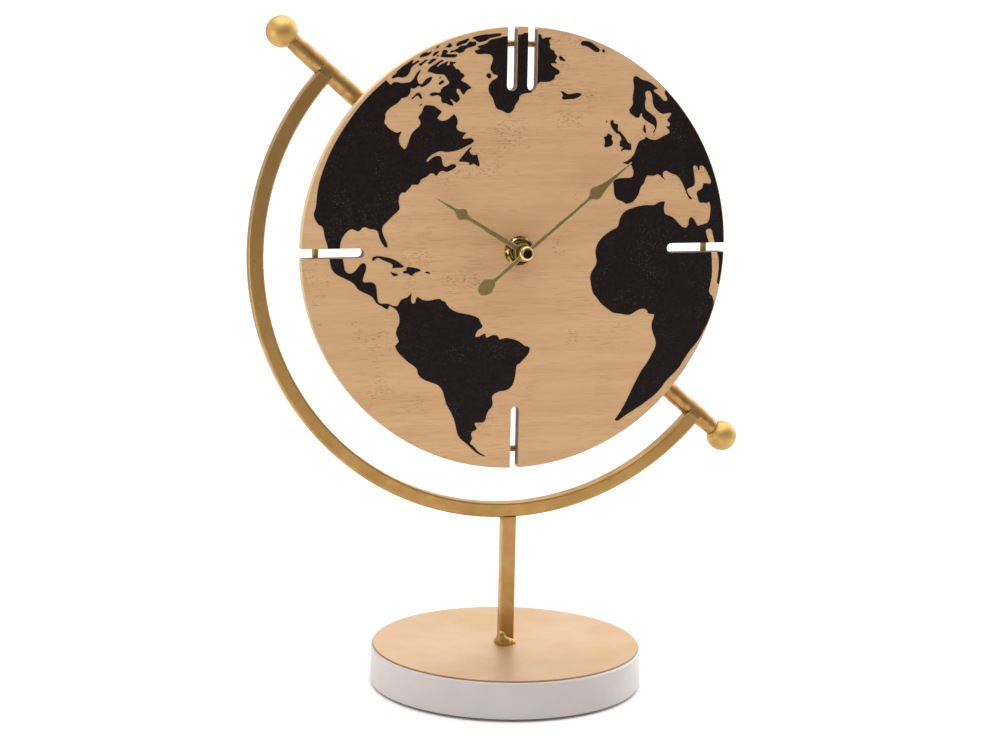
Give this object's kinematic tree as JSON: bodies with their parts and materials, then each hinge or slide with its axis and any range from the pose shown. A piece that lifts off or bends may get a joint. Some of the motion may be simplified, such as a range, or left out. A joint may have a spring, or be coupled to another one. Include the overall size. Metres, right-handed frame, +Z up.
{
  "type": "table clock",
  "caption": "Globe-style table clock: round veneered dial board with a dark world map, leaf hands, a half-circle arc with balls on a tilted axis, a stem and a round base.",
  "frame": {"origin": "middle of the underside of the base pad, on the stem's axis", "axes": "+Z up along the stem, the dial faces -Y, +X to the viewer's right"},
  "size_m": [0.2476, 0.132, 0.3223],
  "materials": {
    "frame_gold": "satin",
    "ball_gold": "satin",
    "plate_gold": "satin",
    "base_lacquer": "satin",
    "pad_felt": "matte",
    "fibreboard": "matte",
    "veneer": "matte",
    "map_ink": "matte",
    "hand_brass": "satin",
    "polished_brass": "polished",
    "zinc_steel": "satin",
    "soft_rubber": "matte",
    "case_plastic": "matte",
    "gear_plastic": "satin",
    "knob_plastic": "matte",
    "ferrite": "matte",
    "yoke_iron": "satin",
    "copper_wire": "satin",
    "bobbin_plastic": "satin",
    "board_laminate": "satin",
    "chip_resin": "gloss",
    "crystal_can": "polished",
    "cell_jacket": "satin",
    "contact_steel": "satin"
  },
  "bodies": {
    "stand": {"base_pad": "pad_felt", "base_block": "base_lacquer", "base_top_plate": "plate_gold", "base_washer": "zinc_steel", "base_bolt": "zinc_steel", "stem": "frame_gold", "stem_foot_weld": "frame_gold", "stem_head_weld": "frame_gold", "meridian_arc": "frame_gold", "arc_weld_upper": "frame_gold", "arc_weld_lower": "frame_gold", "axis_tube_upper": "frame_gold", "axis_tube_lower": "frame_gold", "ball_upper": "ball_gold", "ball_lower": "ball_gold", "backing_ring": "frame_gold", "fixing_tabs": "frame_gold", "tab_screws": "zinc_steel", "dial_board": "fibreboard", "dial_veneer": "veneer", "map_print": "map_ink", "rubber_washer": "soft_rubber", "hub_washer": "polished_brass", "hub_nut": "polished_brass", "movement_case": "case_plastic", "movement_cover": "case_plastic", "middle_plate": "gear_plastic", "stator": "yoke_iron", "coil_core": "yoke_iron", "coil_bobbin": "bobbin_plastic", "coil_winding": "copper_wire", "circuit_board": "board_laminate", "control_chip": "chip_resin", "quartz_crystal": "crystal_can", "contact_positive": "contact_steel", "contact_negative": "contact_steel"},
    "minute": {"minute_hand": "hand_brass", "minute_arbor": "zinc_steel", "cap_nut": "polished_brass"},
    "hour": {"hour_hand": "hand_brass", "hour_wheel": "gear_plastic"},
    "motion": {"motion_wheel": "gear_plastic"},
    "setting": {"setting_knob": "knob_plastic"},
    "centre": {"centre_wheel": "gear_plastic", "clutch_spring": "zinc_steel"},
    "third": {"third_wheel": "gear_plastic"},
    "second": {"second_wheel": "gear_plastic"},
    "intermediate": {"intermediate_wheel": "gear_plastic"},
    "rotor": {"rotor_pinion": "gear_plastic", "rotor_magnet": "ferrite"},
    "cell": {"battery": "cell_jacket"}
  },
  "joints": [
    {"name": "minute_turn", "type": "hinge", "parent": "stand", "child": "minute", "pos_m": [0, 0, 0.2136], "axis": [0, 1, 0], "continuous": true},
    {"name": "hour_turn", "type": "hinge", "parent": "stand", "child": "hour", "pos_m": [0, 0, 0.2136], "axis": [0, 1, 0], "continuous": true},
    {"name": "motion_turn", "type": "hinge", "parent": "stand", "child": "motion", "pos_m": [-0.00779, 0, 0.2181], "axis": [0, 1, 0], "continuous": true},
    {"name": "setting_turn", "type": "hinge", "parent": "stand", "child": "setting", "pos_m": [-0.01625, 0, 0.22118], "axis": [0, 1, 0], "continuous": true},
    {"name": "rotor_turn", "type": "hinge", "parent": "stand", "child": "rotor", "pos_m": [-0.00061, 0, 0.22376], "axis": [0, 1, 0], "continuous": true},
    {"name": "intermediate_turn", "type": "hinge", "parent": "stand", "child": "intermediate", "pos_m": [-0.00324, 0, 0.21921], "axis": [0, 1, 0], "continuous": true},
    {"name": "second_turn", "type": "hinge", "parent": "stand", "child": "second", "pos_m": [0, 0, 0.2136], "axis": [0, 1, 0], "continuous": true},
    {"name": "third_turn", "type": "hinge", "parent": "stand", "child": "third", "pos_m": [0.0053, 0, 0.21666], "axis": [0, 1, 0], "continuous": true},
    {"name": "centre_turn", "type": "hinge", "parent": "stand", "child": "centre", "pos_m": [0, 0, 0.2136], "axis": [0, 1, 0], "continuous": true},
    {"name": "cell_slide", "type": "slide", "parent": "stand", "child": "cell", "axis": [0, 1, 0], "range_m": [0, 0.02]}
  ],
  "couplings": [
    {"joint": "hour_turn", "follows": "minute_turn", "ratio": 0.083333},
    {"joint": "motion_turn", "follows": "minute_turn", "ratio": -0.33333},
    {"joint": "setting_turn", "follows": "minute_turn", "ratio": 1},
    {"joint": "intermediate_turn", "follows": "rotor_turn", "ratio": -0.16667},
    {"joint": "second_turn", "follows": "rotor_turn", "ratio": 0.033333},
    {"joint": "third_turn", "follows": "rotor_turn", "ratio": -0.0044444},
    {"joint": "centre_turn", "follows": "rotor_turn", "ratio": 0.00055556}
  ]
}
